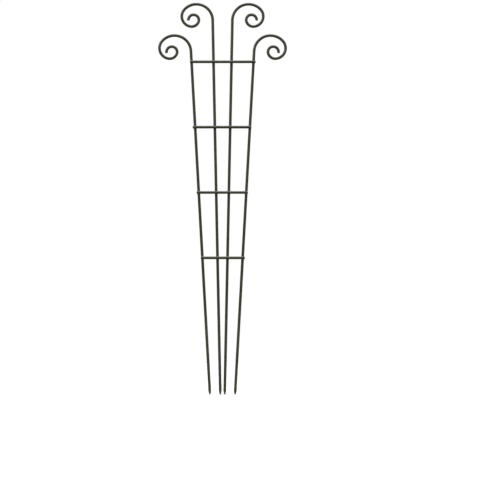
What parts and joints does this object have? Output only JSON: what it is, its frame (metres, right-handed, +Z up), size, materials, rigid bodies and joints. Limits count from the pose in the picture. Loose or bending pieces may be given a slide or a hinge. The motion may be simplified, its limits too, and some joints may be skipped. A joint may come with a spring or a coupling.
{
  "type": "fan trellis",
  "caption": "Flat fan-shaped wire trellis for a planter, its stems ending in outward scrolls and welded to straight crossbars, with legs that push into the compost.",
  "frame": {"origin": "at the soil line, midway between the stems, in the plane of the stems' centre lines", "axes": "+Z up along the trellis; +X to the right as seen from the front; -Y is the front, where the crossbars lie; +Y is the back"},
  "size_m": [0.3956, 0.0179, 1.201],
  "materials": {
    "wire_coating": "satin dark olive-green plastic coating on steel wire",
    "weld_coating": "the same coating pooled over a weld, slightly duller"
  },
  "bodies": {
    "root": {"stem_outer_left": "wire_coating", "stem_inner_left": "wire_coating", "stem_inner_right": "wire_coating", "stem_outer_right": "wire_coating", "crossbar_1": "wire_coating", "crossbar_2": "wire_coating", "crossbar_3": "wire_coating", "crossbar_4": "wire_coating", "weld_1_outer_left": "weld_coating", "weld_1_inner_left": "weld_coating", "weld_1_inner_right": "weld_coating", "weld_1_outer_right": "weld_coating", "weld_2_outer_left": "weld_coating", "weld_2_inner_left": "weld_coating", "weld_2_inner_right": "weld_coating", "weld_2_outer_right": "weld_coating", "weld_3_outer_left": "weld_coating", "weld_3_inner_left": "weld_coating", "weld_3_inner_right": "weld_coating", "weld_3_outer_right": "weld_coating", "weld_4_outer_left": "weld_coating", "weld_4_inner_left": "weld_coating", "weld_4_inner_right": "weld_coating", "weld_4_outer_right": "weld_coating"}
  },
  "joints": []
}
